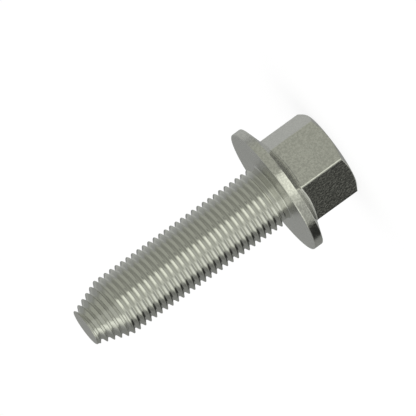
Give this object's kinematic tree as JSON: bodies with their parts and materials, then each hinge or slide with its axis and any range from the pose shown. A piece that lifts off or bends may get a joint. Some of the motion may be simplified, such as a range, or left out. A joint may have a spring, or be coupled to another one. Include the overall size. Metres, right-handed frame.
{
  "type": "hexagon flange self-tapping screw",
  "caption": "Self-tapping screw with a hexagon flange head, a fine right-hand thread along the whole shank and a tapered lead-in, forged and rolled in one piece.",
  "frame": {"origin": "middle of the head's flat end face, on which the screw stands", "axes": "+Z along the shank from the head to the tip, +X through a corner of the hexagon"},
  "size_m": [0.0206, 0.0206, 0.045],
  "materials": {
    "steel": "bright, lightly tumbled"
  },
  "bodies": {
    "root": {"screw": "steel"}
  },
  "joints": []
}
